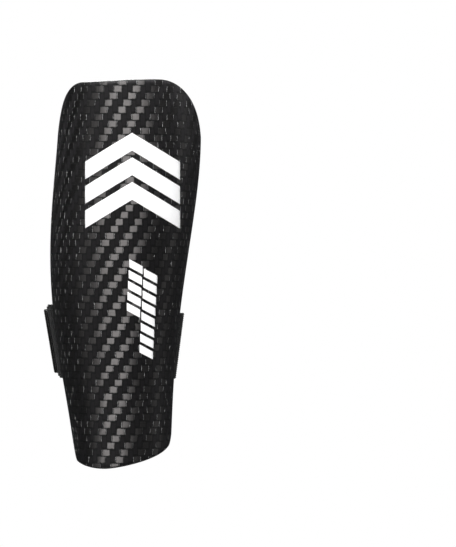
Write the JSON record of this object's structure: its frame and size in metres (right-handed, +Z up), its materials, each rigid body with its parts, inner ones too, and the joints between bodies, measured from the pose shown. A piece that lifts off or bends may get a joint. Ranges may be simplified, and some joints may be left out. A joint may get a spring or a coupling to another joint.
{
  "type": "shin guard",
  "caption": "Curved carbon shin guard for one leg, padded inside, with a wide elastic calf strap that closes by hook and loop.",
  "frame": {"origin": "on the axis of the leg, level with the lowest point of the shell", "axes": "+Z up the leg towards the knee, -Y to the front of the shin, +X to the side where the strap is sewn in"},
  "size_m": [0.1363, 0.1278, 0.3301],
  "materials": {
    "carbon": "satin clear coat over carbon twill",
    "print": "printed white film",
    "hook_and_loop": "hook and loop pile",
    "lining": "knitted face on thin foam",
    "binding": "woven edge tape",
    "padding": "knitted mesh over soft foam",
    "webbing": "woven nylon",
    "elastic": "ribbed elastic"
  },
  "bodies": {
    "guard": {"shell": "carbon", "front_emblem": "print", "side_bars": "print", "fixing_patches": "hook_and_loop", "liner": "lining", "liner_binding": "binding", "pad_left_lower": "padding", "pad_left_middle": "padding", "pad_left_upper": "padding", "pad_left_side": "padding", "pad_right_lower": "padding", "pad_right_middle": "padding", "pad_right_upper": "padding", "pad_right_side": "padding", "closing_anchor": "webbing", "loop_panel": "hook_and_loop", "elastic_fixed_end": "elastic"},
    "strap": {"elastic_strap": "elastic"},
    "flap": {"closing_flap": "elastic", "hook_panel": "hook_and_loop"}
  },
  "joints": [
    {"name": "strap_swing", "type": "hinge", "parent": "guard", "child": "strap", "pos_m": [0.04133, 0.03754, 0.103], "axis": [-0.1121, -0.1024, -0.9884], "range_deg": [0, 110]},
    {"name": "flap_peel", "type": "hinge", "parent": "strap", "child": "flap", "pos_m": [-0.04783, 0.0536, 0.107], "axis": [0.1239, -0.1349, -0.9831], "range_deg": [0, 110]}
  ]
}
